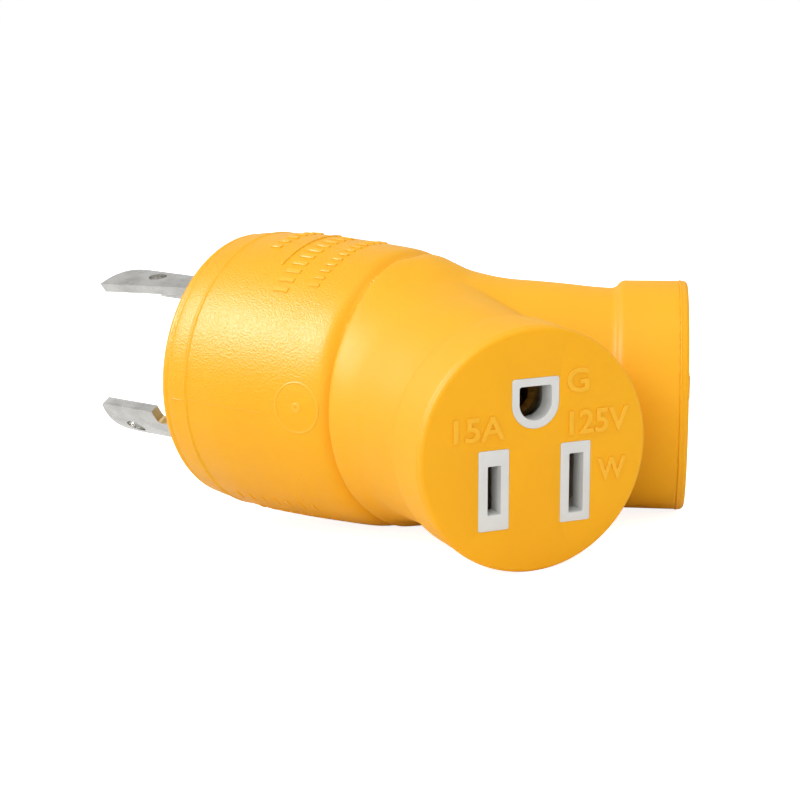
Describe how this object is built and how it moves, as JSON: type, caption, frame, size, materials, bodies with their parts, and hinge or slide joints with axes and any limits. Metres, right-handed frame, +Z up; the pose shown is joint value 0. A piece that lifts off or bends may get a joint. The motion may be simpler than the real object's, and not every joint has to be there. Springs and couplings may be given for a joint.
{
  "type": "outlet splitter adapter",
  "caption": "Moulded yellow Y-shaped power adapter: a round locking plug on one end splits into angled arms, each ending in a grounded straight-blade outlet.",
  "frame": {"origin": "centre of the plug's flat face, where the blades come out", "axes": "+X along the plug's axis, from the plug towards the outlets; +Z up, the ground-hole side of both outlets; the arms lean to -Y and +Y"},
  "size_m": [0.1039, 0.0718, 0.0448],
  "materials": {
    "yellow_jacket": "soft moulded vinyl, satin, with a fine leather grain on the stem and smoother arms and faces",
    "white_insulator": "satin moulded thermoplastic",
    "cream_insulator": "plain moulded thermoplastic",
    "nickel_blade": "nickel-plated brass, softly polished, with fine drawing lines",
    "brass_contact": "plain formed brass",
    "black_wire": "vinyl insulation",
    "white_wire": "vinyl insulation",
    "green_wire": "vinyl insulation"
  },
  "bodies": {
    "root": {"body_jacket": "yellow_jacket", "plug_face_disc": "white_insulator", "plug_retainer": "cream_insulator", "plug_core": "cream_insulator", "ground_blade": "nickel_blade", "hot_blade": "nickel_blade", "neutral_blade": "nickel_blade", "ground_splice": "brass_contact", "hot_splice": "brass_contact", "neutral_splice": "brass_contact", "front_face_cap": "yellow_jacket", "front_insulator": "white_insulator", "front_contact_housing": "cream_insulator", "front_hot_contact": "brass_contact", "front_neutral_contact": "brass_contact", "front_ground_contact": "brass_contact", "front_hot_wire": "black_wire", "front_neutral_wire": "white_wire", "front_ground_wire": "green_wire", "rear_face_cap": "yellow_jacket", "rear_insulator": "white_insulator", "rear_contact_housing": "cream_insulator", "rear_hot_contact": "brass_contact", "rear_neutral_contact": "brass_contact", "rear_ground_contact": "brass_contact", "rear_hot_wire": "black_wire", "rear_neutral_wire": "white_wire", "rear_ground_wire": "green_wire"}
  },
  "joints": []
}
